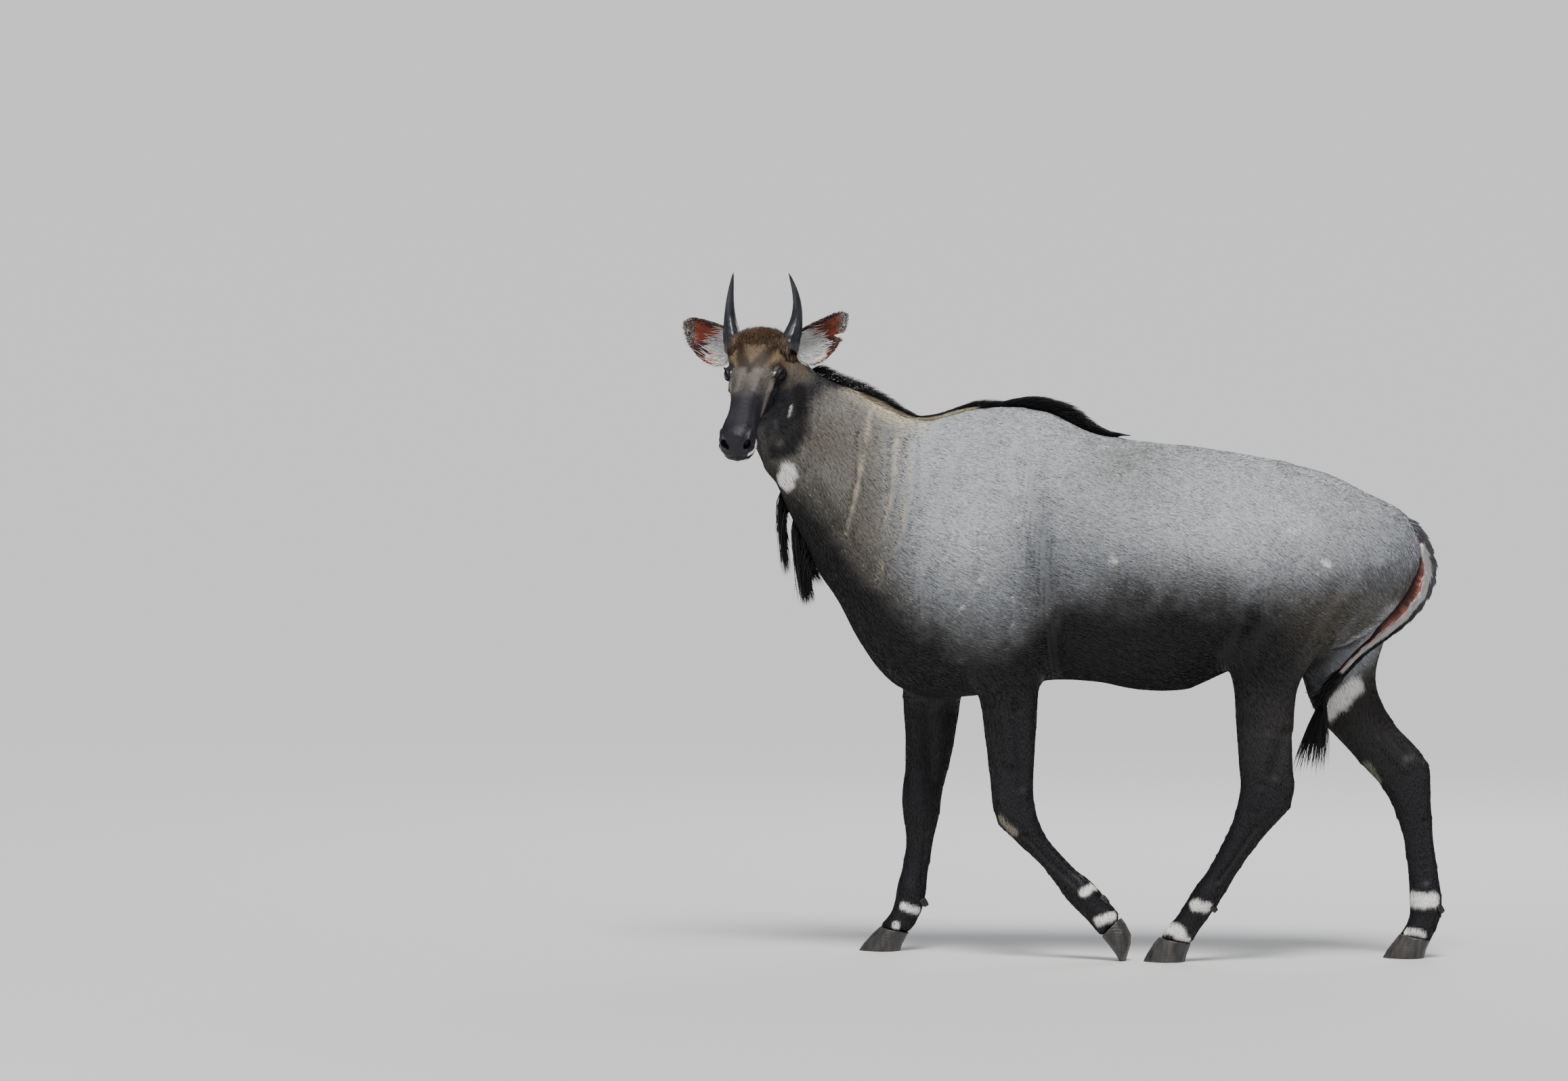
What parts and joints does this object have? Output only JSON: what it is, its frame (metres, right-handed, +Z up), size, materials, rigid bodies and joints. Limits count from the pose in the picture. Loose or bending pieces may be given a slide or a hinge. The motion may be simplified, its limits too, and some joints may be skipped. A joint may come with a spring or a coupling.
{
  "type": "nilgai",
  "caption": "Adult male nilgai antelope standing mid-stride, head turned to its left, with short horns, manes, throat beard and tufted tail; life size.",
  "frame": {"origin": "middle of the underside of the bounding box, on the floor", "axes": "-X towards the front of the body, -Y towards the animal's left side, +Z up; the head is turned to face -Y"},
  "size_m": [1.9192, 0.6154, 1.7172],
  "materials": {
    "coat": "short blue-grey flecked coat that darkens to black under the belly",
    "dark_coat": "short black coat with white bands and spots above the hooves",
    "black_hair": "long coarse black hair",
    "ear": "bare reddish skin in the cup, short grey hair behind, white tufts",
    "horn": "smooth slate-black horn with faint growth rings near the base",
    "hoof": "slate-grey hoof with fine growth lines",
    "eye": "wet, very dark brown eye"
  },
  "bodies": {
    "root": {"shoulders": "coat", "left_fore_lower": "dark_coat", "left_fore_upper": "dark_coat", "head": "coat", "neck": "coat", "withers": "coat", "right_fore_lower": "dark_coat", "right_fore_upper": "dark_coat", "left_hind_lower": "dark_coat", "left_hind_upper": "dark_coat", "barrel": "coat", "hindquarters": "coat", "right_hind_lower": "dark_coat", "right_hind_upper": "dark_coat", "left_fore_hoof_outer": "hoof", "left_fore_hoof_inner": "hoof", "right_fore_hoof_inner": "hoof", "right_fore_hoof_outer": "hoof", "left_hind_hoof_outer": "hoof", "left_hind_hoof_inner": "hoof", "right_hind_hoof_inner": "hoof", "right_hind_hoof_outer": "hoof", "left_fore_dewclaw_outer": "hoof", "left_fore_dewclaw_inner": "hoof", "right_fore_dewclaw_inner": "hoof", "right_fore_dewclaw_outer": "hoof", "left_hind_dewclaw_outer": "hoof", "left_hind_dewclaw_inner": "hoof", "right_hind_dewclaw_inner": "hoof", "right_hind_dewclaw_outer": "hoof", "horn_left": "horn", "ear_left": "ear", "eye_left": "eye", "horn_right": "horn", "ear_right": "ear", "eye_right": "eye", "tail": "coat", "tassel": "black_hair"}
  },
  "joints": []
}
